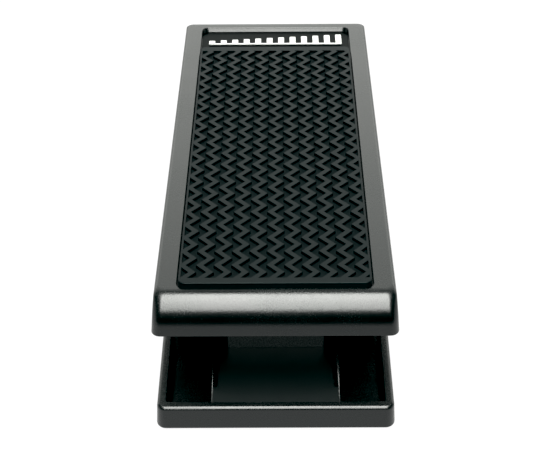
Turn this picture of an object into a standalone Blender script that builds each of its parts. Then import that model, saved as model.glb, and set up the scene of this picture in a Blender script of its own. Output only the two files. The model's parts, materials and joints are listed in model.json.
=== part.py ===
"""Volume pedal: a treadle that rocks on a low base and turns a potentiometer.

The scene is in metres, with +Z up, X across the pedal and +Y towards the toe.
The origin is the centre of the base's footprint, on the floor.
Sizes in this file are in millimetres, and make_object turns them into metres.
"""

import math

import bmesh
import bpy
from mathutils import Vector

MM = 0.001
GAP = 0.3  # between neighbouring pieces
RUNNING_GAP = 0.1  # between a shaft and what turns on it

# Base
BASE_LENGTH = 250.0
BASE_WIDTH = 96.0
BASE_BOTTOM = 1.2
BASE_RIM = 12.5
BASE_WALL = 4.3
BASE_CORNER = 4.0
BASE_DRAFT = 0.8  # how far the outer faces lean in, from the bottom to the rim
RIM_RADIUS = 1.3
FLOOR_TOP = 4.0
DECK_TOP = 9.2
DECK_UNDER = 7.4
HOUSING_HALF = 25.9
HOUSING_WALL = 2.2
TROUGH_HALF = HOUSING_HALF - HOUSING_WALL
CHEEK_INNER = 41.8
CHEEK_OUTER = 43.8
TROUGH_HEEL = -104.0
TROUGH_TOE = 114.0
BASE_END = BASE_LENGTH / 2
INSIDE_END = BASE_END - BASE_WALL

# Rocking joint
PIVOT_Y = 7.0
PIVOT_Z = 30.0
REST_TILT = math.radians(-5.3)  # toe down
STOP_TILT = math.radians(7.8)  # either way from level

# Treadle, measured from the pivot in its own frame, whose Z = 0 is the skirt's lower edge
TREADLE_HALF = 48.4
TREADLE_HEEL = -120.0
TREADLE_TOE = 118.0
TREADLE_HEIGHT = 16.0
TREADLE_WALL = 2.5
TREADLE_CORNER = 3.5
SIDE_DRAFT = 1.4  # how much narrower each side is at the top
SIDE_FILLET = 1.6
HEEL_NOSE = (9.9, 11.2)  # length and height of the rounded end
TOE_NOSE = (5.0, 5.0)
ROOF_UNDER = 10.6
RIB_UNDER = 8.7
RIB_SHEET = 1.8
CROSS_RIBS = (-62.0, -34.0, 34.0, 62.0)
LONG_RIBS = (-36.5, -20.0, 20.0, 36.5)
POST_RADIUS = 3.5
RECESS_FLOOR = 13.1
RECESS_HALF = 38.3
RECESS_CORNER = 3.4
RECESS_HEEL = TREADLE_HEEL + HEEL_NOSE[0] + 0.3
RECESS_TOE = TREADLE_TOE - TOE_NOSE[0] - 2.9

# Tread mat and badge
BADGE_LENGTH = 24.5  # from the recess's toe wall to the mat
BADGE_CLEARANCE = 3.3  # between the panel and the recess's toe wall
MAT_TOE = RECESS_TOE - BADGE_LENGTH
PANEL_SHEET = 0.6
MARK_SHEET = 0.6
MARK_WIDTH = 71.5
MARK_FOOT = 12.8  # from the panel's toe edge to the mark's heel edge
BARS = 12
BAR_SHARE = 0.5  # of the pitch of the bars
SHORTEST_BAR = 3.6
TALLEST_BAR = 10.0
MAT_TOP = 18.0
MAT_DRAFT = 0.3
GROOVE_FLOOR = 16.5
GROOVE_COUNT = 12
GROOVE_PITCH = 6.95
GROOVE_WIDTH = 3.9
ZIGZAG_SWING = 4.2
ZIGZAG_PERIOD = 9.09
FIRST_BEND = 0.4 * ZIGZAG_PERIOD  # from the heel border to the first bend
FIRST_GROOVE = -1.12  # its centre line, from the left border
SIDE_BORDER = 0.5
HEEL_BORDER = 3.1
TOE_BORDER = 4.0

# Axle and what sits on it
AXLE_RADIUS = 2.5
AXLE_HALF = 36.0
LUG_INNER = 27.5
LUG_OUTER = 31.5
LUG_RADIUS = 8.0
BUSH_RADIUS = 4.0
CLIP_INNER = 33.4
CLIP_OUTER = 34.2
CLIP_GROOVE = 2.0

# Gears: module 1, sector of a 60-tooth wheel on the treadle, 12-tooth pinion on the shaft
MODULE = 1.0
SECTOR_TEETH = 60
PINION_TEETH = 12
PINION_ROOT = 4.8
PINION_TIP = 7.0
PRESSURE_ANGLE = math.radians(20)
BACKLASH = 0.3
GEAR_DISTANCE = MODULE * (SECTOR_TEETH + PINION_TEETH) / 2
PINION_DIRECTION = math.radians(-12.8)  # from the pivot, below the +Y direction
PINION_Y = PIVOT_Y + GEAR_DISTANCE * math.cos(PINION_DIRECTION)
PINION_Z = PIVOT_Z + GEAR_DISTANCE * math.sin(PINION_DIRECTION)
SECTOR_BACK = -4.0
SECTOR_FRONT = 0.0

# Potentiometer
SHAFT_RADIUS = 3.0
POT_RADIUS = 8.2
POT_FRONT = 7.5
POT_BACK = 15.5
POT_NECK_RADIUS = 3.5
POT_NECK_END = 2.4
BRACKET_BACK = 6.0
BRACKET_SHEET = 1.2
BRACKET_HALF = 9.0

# Circuit board and polarity switch
BOARD_HEEL = 58.0
BOARD_TOE = 86.0
BOARD_HALF = 19.0
BOARD_UNDER = DECK_TOP + 0.4
BOARD_SHEET = 1.6
SWITCH_Y = 68.0
SWITCH_TRAVEL = 3.0
SLIDER_LENGTH = 3.0

# Stops: a treadle rib meets a pad on a pedestal at each end of the travel
STOP_ARM = 91.0
STOP_RIB_UNDER = 4.0
STOP_RIB_SHEET = 3.0
STOP_PAD_SHEET = 2.5
PEDESTAL_HALF = 20.0
PEDESTAL_LENGTH = 8.0
STOP_RIB_LOWEST = (
    PIVOT_Z
    - (STOP_ARM + STOP_RIB_SHEET / 2) * math.sin(STOP_TILT)
    + STOP_RIB_UNDER * math.cos(STOP_TILT)
)
STOP_PAD_TOP = STOP_RIB_LOWEST - GAP
PEDESTAL_TOP = STOP_PAD_TOP - STOP_PAD_SHEET - GAP

# Cable gland in the toe wall
GLAND_WALL = 2.5  # what a pocket leaves of the toe wall
POCKET_END = BASE_END - GLAND_WALL
GLAND_Z = 7.0
GLAND_BORE = 3.0
GLAND_NECK = 4.1
GLAND_FLANGE = 4.8

# Bottom plate and screws
PLATE_SHEET = 2.2
PLATE_TOP = BASE_BOTTOM + PLATE_SHEET
PLATE_HALF = TROUGH_HALF - 0.4
SCREW_HEAD = 2.5
SCREW_SHANK = 1.2
SCREW_HOLE = SCREW_SHANK + GAP
SCREW_SIDES = 10
BOSS_RADIUS = 3.2
PLATE_SCREWS = [(x, y) for y in (-96.0, 20.0, 106.0) for x in (-18.0, 18.0)]
BOARD_SCREWS = [(-15.5, 62.0), (15.5, 82.0)]
BRACKET_SCREWS = [(13.5, PINION_Y - 6.0), (13.5, PINION_Y + 6.0)]
SECTOR_SCREWS = [(-9.0, 0.0), (5.0, 0.0)]
SECTOR_FOOT_TOP = 8.0
SECTOR_FOOT_UNDER = 5.6

# Rubber feet
FOOT_RADIUS = 7.0
FOOT_RECESS = 1.0
FEET = [(x, y) for y in (-113.0, 113.0) for x in (-37.5, 37.5)]


def clear_scene():
    for obj in list(bpy.data.objects):
        bpy.data.objects.remove(obj)


def make_material(name, colour, roughness, metallic=0.0):
    material = bpy.data.materials.new(name)
    material.use_nodes = True
    shader = material.node_tree.nodes["Principled BSDF"]
    shader.inputs["Base Color"].default_value = (*colour, 1.0)
    shader.inputs["Roughness"].default_value = roughness
    shader.inputs["Metallic"].default_value = metallic
    material.diffuse_color = (*colour, 1.0)
    return material


def make_materials():
    return {
        "case": make_material("case_plastic", (0.030, 0.031, 0.032), 0.42),
        "rubber": make_material("mat_rubber", (0.022, 0.024, 0.025), 0.75),
        "panel": make_material("panel_plastic", (0.012, 0.012, 0.013), 0.35),
        "mark": make_material("mark_white", (0.85, 0.85, 0.84), 0.4),
        "steel": make_material("bright_steel", (0.62, 0.62, 0.62), 0.3, 1.0),
        "black_steel": make_material("black_steel", (0.06, 0.06, 0.06), 0.4, 1.0),
        "nylon": make_material("gear_nylon", (0.78, 0.76, 0.70), 0.5),
        "board": make_material("circuit_board", (0.03, 0.16, 0.06), 0.45),
        "brass": make_material("brass", (0.70, 0.55, 0.25), 0.35, 1.0),
        "red": make_material("red_lead", (0.55, 0.03, 0.03), 0.5),
        "white": make_material("white_lead", (0.75, 0.75, 0.75), 0.5),
    }


def make_mesh(name, bm):
    """Closes a bmesh into a mesh in metres, with its faces pointing out."""
    bmesh.ops.remove_doubles(bm, verts=bm.verts, dist=1e-5)
    bmesh.ops.recalc_face_normals(bm, faces=bm.faces)
    bmesh.ops.scale(bm, vec=(MM, MM, MM), verts=bm.verts)
    mesh = bpy.data.meshes.new(name)
    bm.to_mesh(mesh)
    bm.free()
    mesh.shade_smooth()
    mesh.set_sharp_from_angle(angle=math.radians(35))
    return mesh


def make_object(name, bm, material, parent=None, place=(0, 0, 0)):
    return place_mesh(name, make_mesh(name, bm), material, parent, place)


def place_mesh(name, mesh, material, parent=None, place=(0, 0, 0)):
    obj = bpy.data.objects.new(name, mesh)
    if material and not mesh.materials:
        mesh.materials.append(material)
    obj.location = Vector(place) * MM
    obj.parent = parent
    bpy.context.scene.collection.objects.link(obj)
    return obj


def combine(target, operation, name, bm):
    """Adds a Boolean with a hidden helper, which stands in the target's own frame."""
    helper = make_object(name, bm, None, target.parent, target.location / MM)
    helper.hide_render = True
    helper.display_type = "WIRE"
    boolean = target.modifiers.new(name, "BOOLEAN")
    boolean.operation = operation
    boolean.object = helper
    return helper


def join(target, name, bm):
    return combine(target, "UNION", name, bm)


def cut(target, name, bm):
    return combine(target, "DIFFERENCE", name, bm)


def keep_inside(target, name, bm):
    return combine(target, "INTERSECT", name, bm)


def merged(*parts):
    """One bmesh that holds several separate bodies."""
    whole = bmesh.new()
    for part in parts:
        mesh = bpy.data.meshes.new("part")
        part.to_mesh(mesh)
        part.free()
        whole.from_mesh(mesh)
        bpy.data.meshes.remove(mesh)
    return whole


def loft(loops, ring=False):
    """Joins equal loops of points with quads. Caps both ends, or closes into a ring."""
    bm = bmesh.new()
    rows = [[bm.verts.new(point) for point in loop] for loop in loops]
    count = len(rows[0])
    pairs = list(zip(rows, rows[1:]))
    if ring:
        pairs.append((rows[-1], rows[0]))
    for lower, upper in pairs:
        for i in range(count):
            j = (i + 1) % count
            bm.faces.new((lower[i], lower[j], upper[j], upper[i]))
    if not ring:
        bm.faces.new(rows[0])
        bm.faces.new(rows[-1])
    return bm


def block(low, high):
    (x0, y0, z0), (x1, y1, z1) = low, high
    corners = [(x0, y0), (x1, y0), (x1, y1), (x0, y1)]
    return loft([[(x, y, z) for x, y in corners] for z in (z0, z1)])


def slab_x(outline, x0, x1):
    """An outline of (y, z) points, extruded from x0 to x1."""
    return loft([[(x, y, z) for y, z in outline] for x in (x0, x1)])


def slab_y(outline, y0, y1):
    """An outline of (x, z) points, extruded from y0 to y1."""
    return loft([[(x, y, z) for x, z in outline] for y in (y0, y1)])


def slab_z(outline, z0, z1):
    """An outline of (x, y) points, extruded from z0 to z1."""
    return loft([[(x, y, z) for x, y in outline] for z in (z0, z1)])


def arc(centre, radius, start, end, steps):
    """Points along a circular arc, with its angles in degrees."""
    angles = [math.radians(start + (end - start) * i / steps) for i in range(steps + 1)]
    return [(centre[0] + radius * math.cos(a), centre[1] + radius * math.sin(a)) for a in angles]


def rounded_rectangle(x0, x1, y0, y1, radius, steps=4):
    corners = [(x1, y1, 0), (x0, y1, 90), (x0, y0, 180), (x1, y0, 270)]
    points = []
    for x, y, start in corners:
        centre_x = x - math.copysign(radius, x - (x0 + x1) / 2)
        centre_y = y - math.copysign(radius, y - (y0 + y1) / 2)
        points += arc((centre_x, centre_y), radius, start, start + 90, steps)
    return points


def turned(axis, centre, profile, sides, ring=False):
    """A body of revolution about X, Y or Z. The profile is (radius, place along the axis)."""
    loops = []
    for radius, along in profile:
        loop = []
        for i in range(sides):
            angle = 2 * math.pi * (i + 0.5) / sides
            u, v = radius * math.cos(angle), radius * math.sin(angle)
            point = {"X": (along, u, v), "Y": (u, along, v), "Z": (u, v, along)}[axis]
            loop.append(Vector(point) + Vector(centre))
        loops.append(loop)
    return loft(loops, ring)


def rod(axis, centre, radius, start, end, sides=24):
    return turned(axis, centre, [(radius, start), (radius, end)], sides)


def tube(axis, centre, inner, outer, start, end, sides=24):
    profile = [(inner, start), (outer, start), (outer, end), (inner, end)]
    return turned(axis, centre, profile, sides, ring=True)


# ---------------------------------------------------------------- base


def base_outline(inset, z, drafted=True):
    """The tray's outline at height z. Its outer faces lean in towards the rim."""
    if drafted:
        inset += BASE_DRAFT * (z - BASE_BOTTOM) / (BASE_RIM - BASE_BOTTOM)
    half = BASE_WIDTH / 2 - inset
    end = BASE_END - inset
    outline = rounded_rectangle(-half, half, -end, end, max(BASE_CORNER - inset, 1.0))
    return [(x, y, z) for x, y in outline]


def tray():
    """The floor and the outer wall, whose upper edge is rounded outwards."""
    edge = 0.6
    loops = [base_outline(edge, BASE_BOTTOM), base_outline(0.0, BASE_BOTTOM + edge)]
    for inset, rise in arc((RIM_RADIUS, -RIM_RADIUS), RIM_RADIUS, 180, 90, 4):
        loops.append(base_outline(inset, BASE_RIM + rise))
    chamfer = 0.3
    loops.append(base_outline(BASE_WALL - chamfer, BASE_RIM, drafted=False))
    loops.append(base_outline(BASE_WALL, BASE_RIM - chamfer, drafted=False))
    loops.append(base_outline(BASE_WALL + 0.1, FLOOR_TOP, drafted=False))
    return loft(loops)


def housing_walls():
    """Two long walls that carry the axle, with sloping ends."""
    sunk = DECK_TOP - 1.2
    profile = [(-120.0, sunk), (-95.0, 22.5), (-12.0, 35.5), (12.0, 35.5)]
    profile += [(95.0, 22.5), (114.0, 11.5), (114.0, sunk)]
    outline = [(PIVOT_Y + along, z) for along, z in profile]
    inner = TROUGH_HALF
    return merged(slab_x(outline, inner, HOUSING_HALF), slab_x(outline, -HOUSING_HALF, -inner))


def cheeks():
    """Side gussets that close the gap under the treadle's skirt."""
    half = [(12.0, 33.0), (76.0, 22.5), (85.0, 11.0), (85.0, FLOOR_TOP - 1.0)]
    profile = [(-along, z) for along, z in reversed(half)] + half
    outline = [(PIVOT_Y + along, z) for along, z in profile]
    inner, outer = CHEEK_INNER, CHEEK_OUTER
    return merged(slab_x(outline, inner, outer), slab_x(outline, -outer, -inner))


def pedestal(centre_y):
    half = PEDESTAL_LENGTH / 2
    low = (-PEDESTAL_HALF, centre_y - half, DECK_TOP - 0.8)
    return block(low, (PEDESTAL_HALF, centre_y + half, PEDESTAL_TOP))


def make_base(mats):
    casing = make_object("base_casing", tray(), mats["case"])
    deck_end = INSIDE_END + 1.0
    deck = block(
        (-HOUSING_HALF, -deck_end, FLOOR_TOP - 1.0), (HOUSING_HALF, deck_end, DECK_TOP)
    )
    join(casing, "deck", deck)
    join(casing, "housing_walls", housing_walls())
    join(casing, "cheeks", cheeks())
    pedestals = [pedestal(PIVOT_Y + side * STOP_ARM) for side in (-1, 1)]
    join(casing, "pedestals", merged(*pedestals))
    trough = block(
        (-TROUGH_HALF, TROUGH_HEEL, BASE_BOTTOM - 1), (TROUGH_HALF, TROUGH_TOE, DECK_UNDER)
    )
    cut(casing, "trough", trough)
    fixings = PLATE_SCREWS + BOARD_SCREWS + BRACKET_SCREWS
    low, high = PLATE_TOP + GAP, DECK_UNDER + 0.9
    bosses = [rod("Z", (x, y, 0), BOSS_RADIUS, low, high, 16) for x, y in fixings]
    join(casing, "bosses", merged(*bosses))
    cut(casing, "axle_hole", rod("X", (0, PIVOT_Y, PIVOT_Z), AXLE_RADIUS + GAP, -30, 30, 32))
    cut(casing, "screw_holes", base_screw_holes())
    recess_top = BASE_BOTTOM + FOOT_RECESS
    recesses = [rod("Z", (x, y, 0), FOOT_RADIUS + GAP, 0.5, recess_top, 28) for x, y in FEET]
    cut(casing, "foot_recesses", merged(*recesses))
    window = block((-6.2, SWITCH_Y - 5.6, 6.0), (6.2, SWITCH_Y + 5.6, DECK_TOP + 1))
    cut(casing, "switch_window", window)
    pocket = block((-8.0, TROUGH_TOE + 2.0, 1.9), (8.0, POCKET_END, BASE_RIM + 2))
    cut(casing, "gland_pocket", pocket)
    gland_hole = rod("Y", (0, 0, GLAND_Z), GLAND_NECK + GAP, POCKET_END - 1, BASE_END + 1, 32)
    cut(casing, "gland_hole", gland_hole)
    way_in = block((-3.0, TROUGH_TOE - 1.0, 3.0), (3.0, TROUGH_TOE + 3.0, DECK_UNDER - 0.6))
    cut(casing, "gland_way_in", way_in)
    return casing


def base_screw_holes():
    """Blind holes: up into the bosses for the plate, down through the deck for the rest."""
    up = [rod("Z", (x, y, 0), SCREW_HOLE, 3.0, DECK_UNDER + 0.6, 12) for x, y in PLATE_SCREWS]
    down = [
        rod("Z", (x, y, 0), SCREW_HOLE, PLATE_TOP + 1.6, DECK_TOP + 1, 12)
        for x, y in BOARD_SCREWS + BRACKET_SCREWS
    ]
    return merged(*up, *down)


def make_bottom_plate(mats):
    low = TROUGH_HEEL + 0.4
    high = TROUGH_TOE - 0.4
    outline = rounded_rectangle(-PLATE_HALF, PLATE_HALF, low, high, 1.5, 2)
    plate = make_object("bottom_plate", slab_z(outline, BASE_BOTTOM, PLATE_TOP), mats["case"])
    holes = [rod("Z", (x, y, 0), SCREW_HOLE, 0, PLATE_TOP + 1, 12) for x, y in PLATE_SCREWS]
    cut(plate, "plate_holes", merged(*holes))
    sinks = [
        rod("Z", (x, y, 0), SCREW_HEAD + GAP, 0, BASE_BOTTOM + 1.3, 14) for x, y in PLATE_SCREWS
    ]
    cut(plate, "plate_sinks", merged(*sinks))
    slot = block((-2.2, SWITCH_Y - 4.2, 0), (2.2, SWITCH_Y + 4.2, PLATE_TOP + 1))
    cut(plate, "switch_slot", slot)


def make_feet(mats):
    top = BASE_BOTTOM + FOOT_RECESS - GAP
    profile = [(FOOT_RADIUS - 0.4, 0.0), (FOOT_RADIUS, 0.4), (FOOT_RADIUS, top)]
    mesh = make_mesh("rubber_foot", turned("Z", (0, 0, 0), profile, 28))
    for number, (x, y) in enumerate(FEET, 1):
        place_mesh(f"rubber_foot_{number}", mesh, mats["rubber"], place=(x, y, 0))


# ---------------------------------------------------------------- screws


def screw_mesh(length, mats):
    """A pan-head screw along -Z with a cross recess, its head's underside at Z = 0."""
    head = 1.4
    profile = [(SCREW_SHANK * 0.6, -length), (SCREW_SHANK, -length + 0.7), (SCREW_SHANK, 0)]
    profile += [(SCREW_HEAD, 0), (SCREW_HEAD, head * 0.45), (SCREW_HEAD * 0.68, head)]
    blank = make_object("screw_blank", turned("Z", (0, 0, 0), profile, SCREW_SIDES), None)
    for name, x, y in (("slot_a", 1.3, 0.3), ("slot_b", 0.3, 1.3)):
        cut(blank, name, block((-x, -y, head * 0.5), (x, y, head + 1)))
    bpy.context.view_layer.update()
    evaluated = blank.evaluated_get(bpy.context.evaluated_depsgraph_get())
    mesh = bpy.data.meshes.new_from_object(evaluated)
    mesh.name = f"screw_{length:.0f}"
    mesh.materials.clear()
    mesh.materials.append(mats["black_steel"])
    bpy.data.objects.remove(blank)
    return mesh


def make_screws(mats, treadle):
    """Screws under the base point up, and those on the deck point down."""
    short = screw_mesh(3.4, mats)
    long = screw_mesh(5.4, mats)
    seat = BASE_BOTTOM + 1.3 - GAP
    for number, (x, y) in enumerate(PLATE_SCREWS, 1):
        screw = place_mesh(f"plate_screw_{number}", short, None, place=(x, y, seat - 0.2))
        screw.rotation_euler.x = math.pi
    board_top = BOARD_UNDER + BOARD_SHEET
    for number, (x, y) in enumerate(BOARD_SCREWS, 1):
        place_mesh(f"board_screw_{number}", short, None, place=(x, y, board_top + GAP))
    foot_top = DECK_TOP + GAP + BRACKET_SHEET
    for number, (x, y) in enumerate(BRACKET_SCREWS, 1):
        place_mesh(f"bracket_screw_{number}", short, None, place=(x, y, foot_top + GAP))
    for number, (x, y) in enumerate(SECTOR_SCREWS, 1):
        place = (x, y, SECTOR_FOOT_UNDER - GAP)
        screw = place_mesh(f"sector_screw_{number}", long, None, treadle, place)
        screw.rotation_euler.x = math.pi


# ---------------------------------------------------------------- treadle


def nose_inset(z, nose, wall=0.0):
    """How far an end has rolled in at height z, on a nose this long and high, or inside its wall."""
    length, height = nose[0] - wall, nose[1] - wall
    rise = min(max(z - TREADLE_HEIGHT + nose[1], 0.0), height)
    return wall + length - length * math.sqrt(1.0 - (rise / height) ** 2)


def fillet_inset(z):
    rise = max(z - (TREADLE_HEIGHT - SIDE_FILLET), 0.0)
    return SIDE_FILLET - math.sqrt(SIDE_FILLET**2 - rise**2)


def treadle_outline(z, wall=0.0, lip=0.0):
    """The treadle's outline at height z, or its hollow's where wall is given."""
    side = wall + lip + SIDE_DRAFT * z / TREADLE_HEIGHT
    if not wall:
        side += fillet_inset(z)
    half = TREADLE_HALF - side
    heel = TREADLE_HEEL + lip + nose_inset(z, HEEL_NOSE, wall)
    toe = TREADLE_TOE - lip - nose_inset(z, TOE_NOSE, wall)
    radius = max(TREADLE_CORNER - wall, 1.2)
    return [(x, y, z) for x, y in rounded_rectangle(-half, half, heel, toe, radius)]


def shell():
    """The treadle's skin, lofted from its roof's underside, round its lip, to its recess."""
    band = TREADLE_HEIGHT - HEEL_NOSE[1]
    loops = [treadle_outline(z, wall=TREADLE_WALL) for z in (ROOF_UNDER, 9.2, 7.6, band, 0.0)]
    lip = 0.4
    loops.append(treadle_outline(0.0, lip=lip))
    loops.append(treadle_outline(lip))
    for i in range(7):
        z = band + HEEL_NOSE[1] * math.sin(math.radians(15 * i))
        loops.append(treadle_outline(min(z, TREADLE_HEIGHT)))
    recess = rounded_rectangle(
        -RECESS_HALF, RECESS_HALF, RECESS_HEEL, RECESS_TOE, RECESS_CORNER
    )
    for z in (TREADLE_HEIGHT, RECESS_FLOOR):
        loops.append([(x, y, z) for x, y in recess])
    return loft(loops)


def lug(x0, x1):
    """A plate that hangs from the roof and holds a bush."""
    outline = [(-11.0, ROOF_UNDER + 1.0)]
    outline += arc((0, 0), LUG_RADIUS, 190, 350, 12)
    outline += [(11.0, ROOF_UNDER + 1.0)]
    return slab_x(outline, x0, x1)


def cross_ribs():
    top = ROOF_UNDER + 1.2
    half = TREADLE_HALF - TREADLE_WALL - 0.4
    ribs = []
    for y in CROSS_RIBS:
        near, far = y - RIB_SHEET / 2, y + RIB_SHEET / 2
        ribs.append(block((-half, near, RIB_UNDER), (half, far, top)))
    for y in (-STOP_ARM, STOP_ARM):
        low = (-15.0, y - STOP_RIB_SHEET / 2, STOP_RIB_UNDER)
        ribs.append(block(low, (15.0, y + STOP_RIB_SHEET / 2, top)))
    return merged(*ribs)


def long_ribs():
    top = ROOF_UNDER + 1.4
    ends = TREADLE_TOE - TREADLE_WALL - 1.0
    ribs = []
    for x in LONG_RIBS:
        left, right = x - RIB_SHEET / 2, x + RIB_SHEET / 2
        ribs.append(block((left, -ends, RIB_UNDER + 0.3), (right, ends, top)))
    return merged(*ribs)


def make_treadle(mats, treadle):
    skin = make_object("treadle_shell", shell(), mats["case"], treadle)
    join(skin, "cross_ribs", cross_ribs())
    join(skin, "long_ribs", long_ribs())
    join(skin, "lugs", merged(lug(LUG_INNER, LUG_OUTER), lug(-LUG_OUTER, -LUG_INNER)))
    post_low, post_high = SECTOR_FOOT_TOP + GAP, ROOF_UNDER + 1.0
    posts = [rod("Z", (x, y, 0), POST_RADIUS, post_low, post_high, 16) for x, y in SECTOR_SCREWS]
    join(skin, "sector_posts", merged(*posts))
    cut(skin, "lug_holes", rod("X", (0, 0, 0), BUSH_RADIUS + GAP, -33, 33, 32))
    holes = [rod("Z", (x, y, 0), SCREW_HOLE, 7, RECESS_FLOOR - 0.7, 12) for x, y in SECTOR_SCREWS]
    cut(skin, "sector_screw_holes", merged(*holes))


def zigzag_groove(centre_x, start, bends):
    """A channel along Y that bends at each half period, first to the right."""
    half = GROOVE_WIDTH / 2
    loops = []
    for i in range(bends):
        x = centre_x + ZIGZAG_SWING * (0.5 if i % 2 else -0.5)
        y = start + ZIGZAG_PERIOD / 2 * (i - 1)
        corners = [(x - half, GROOVE_FLOOR), (x + half, GROOVE_FLOOR)]
        corners += [(x + half, MAT_TOP + 1), (x - half, MAT_TOP + 1)]
        loops.append([(u, y, z) for u, z in corners])
    return loft(loops)


def make_mat(mats, treadle):
    """A rubber pad that stands proud of the treadle, with zigzag grooves inside a plain border."""
    base = RECESS_FLOOR + GAP
    top_inset = GAP + 2 * MAT_DRAFT
    levels = [(GAP, base), (GAP + MAT_DRAFT, MAT_TOP - 0.3), (top_inset, MAT_TOP)]
    loops = []
    for inset, z in levels:
        heel, toe = RECESS_HEEL + inset, MAT_TOE - inset
        side = RECESS_HALF - inset
        outline = rounded_rectangle(-side, side, heel, toe, RECESS_CORNER - inset)
        loops.append([(x, y, z) for x, y in outline])
    mat = make_object("tread_mat", loft(loops), mats["rubber"], treadle)
    field_half = RECESS_HALF - top_inset - SIDE_BORDER
    field_heel = RECESS_HEEL + top_inset + HEEL_BORDER
    field_toe = MAT_TOE - top_inset - TOE_BORDER
    bends = round((field_toe - field_heel) / (ZIGZAG_PERIOD / 2)) + 4
    first = FIRST_GROOVE - field_half
    grooves = [
        zigzag_groove(first + GROOVE_PITCH * i, field_heel + FIRST_BEND, bends)
        for i in range(GROOVE_COUNT)
    ]
    pattern = cut(mat, "grooves", merged(*grooves))
    low, high = (-field_half, field_heel, base), (field_half, field_toe, MAT_TOP + 3)
    keep_inside(pattern, "groove_field", block(low, high))


def make_badge(mats, treadle):
    """A smooth panel at the toe, with a plain ramp of bars that rises from left to right."""
    side = RECESS_HALF - GAP
    toe = RECESS_TOE - BADGE_CLEARANCE
    base = RECESS_FLOOR + GAP
    panel_top = base + PANEL_SHEET
    outline = rounded_rectangle(-side, side, MAT_TOE, toe, RECESS_CORNER - GAP)
    make_object("badge_panel", slab_z(outline, base, panel_top), mats["panel"], treadle)
    low = panel_top + GAP
    mark = slab_z(ramp_of_bars(toe - MARK_FOOT), low, low + MARK_SHEET)
    make_object("badge_mark", mark, mats["mark"], treadle)


def ramp_of_bars(low):
    """An outline of upright bars that grow taller to the right, all standing on one thin foot."""
    foot = 0.9
    pitch = MARK_WIDTH / BARS
    bar = pitch * BAR_SHARE
    left = -(MARK_WIDTH - pitch + bar) / 2
    points = [(left, low)]
    for i in range(BARS):
        x = left + pitch * i
        top = low + SHORTEST_BAR + (TALLEST_BAR - SHORTEST_BAR) * i / (BARS - 1)
        if i:
            points.append((x, low + foot))
        points += [(x, top), (x + bar, top)]
        if i < BARS - 1:
            points.append((x + bar, low + foot))
    points.append((points[-1][0], low))
    return points


# ---------------------------------------------------------------- axle


def make_axle(mats, treadle):
    centre = (0, PIVOT_Y, PIVOT_Z)
    a, b = CLIP_INNER - GAP, CLIP_OUTER + GAP
    half = [(AXLE_RADIUS, a), (CLIP_GROOVE, a), (CLIP_GROOVE, b), (AXLE_RADIUS, b)]
    half += [(AXLE_RADIUS, AXLE_HALF - 0.4), (AXLE_RADIUS - 0.4, AXLE_HALF)]
    profile = [(radius, -along) for radius, along in reversed(half)] + half
    make_object("axle", turned("X", centre, profile, 28), mats["steel"])
    for side, name in ((-1, "left"), (1, "right")):
        make_axle_end(mats, treadle, side, name, centre)


def make_axle_end(mats, treadle, side, name, centre):
    """The washer, bush and clip on one end of the axle."""
    wall = side * (HOUSING_HALF + GAP)
    washer = tube("X", centre, AXLE_RADIUS + GAP, 7.0, wall, wall + side * 0.9)
    make_object(f"friction_washer_{name}", washer, mats["brass"])
    bore = AXLE_RADIUS + RUNNING_GAP
    inner = side * (LUG_INNER + 0.1)
    shoulder = side * (LUG_OUTER + GAP)
    outer = shoulder + side * 0.9
    profile = [(bore, inner), (BUSH_RADIUS, inner), (BUSH_RADIUS, shoulder)]
    profile += [(5.6, shoulder), (5.6, outer), (bore, outer)]
    bush = turned("X", (0, 0, 0), profile, 28, ring=True)
    make_object(f"axle_bush_{name}", bush, mats["nylon"], treadle)
    mouth = 40
    outline = arc((0, 0), 4.6, -90 + mouth, 270 - mouth, 18)
    outline += arc((0, 0), CLIP_GROOVE + 0.2, 270 - mouth, -90 + mouth, 14)
    outline = [(y + centre[1], z + centre[2]) for y, z in outline]
    clip = slab_x(outline, side * CLIP_INNER, side * CLIP_OUTER)
    make_object(f"retaining_clip_{name}", clip, mats["black_steel"])


# ---------------------------------------------------------------- gears


def involute(angle):
    return math.tan(angle) - angle


def tooth_half_angle(radius, teeth):
    """Half the angle that a tooth spans at this radius."""
    pitch_radius = MODULE * teeth / 2
    base_radius = pitch_radius * math.cos(PRESSURE_ANGLE)
    at = math.acos(min(base_radius / radius, 1.0))
    thickness = math.pi * MODULE / 2 - BACKLASH / 2
    return thickness / (2 * pitch_radius) + involute(PRESSURE_ANGLE) - involute(at)


def tooth(teeth, centre_angle, root, tip):
    """One tooth's outline about the gear's centre, from its root, over its tip, to its root."""
    base_radius = MODULE * teeth / 2 * math.cos(PRESSURE_ANGLE)
    start = max(root, base_radius)
    radii = [start + (tip - start) * i / 3 for i in range(4)]
    if root < base_radius:
        radii.insert(0, root)
    flank = [(radius, tooth_half_angle(radius, teeth)) for radius in radii]
    points = [(radius, centre_angle - half) for radius, half in flank]
    points += [(radius, centre_angle + half) for radius, half in reversed(flank)]
    return [(radius * math.cos(a), radius * math.sin(a)) for radius, a in points]


def pinion_outline():
    """The pinion has a gap on the line of centres, where the sector has a tooth."""
    step = 2 * math.pi / PINION_TEETH
    towards_pivot = PINION_DIRECTION + math.pi
    points = []
    for k in range(PINION_TEETH):
        centre = towards_pivot + step * (k + 0.5)
        points += tooth(PINION_TEETH, centre, PINION_ROOT, PINION_TIP)
    return points


def make_pinion(mats, shaft):
    pinion = make_object("pinion_gear", slab_x(pinion_outline(), -4.6, 1.8), mats["nylon"], shaft)
    cut(pinion, "pinion_bore", rod("X", (0, 0, 0), SHAFT_RADIUS + GAP, -6, 3, 32))


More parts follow.
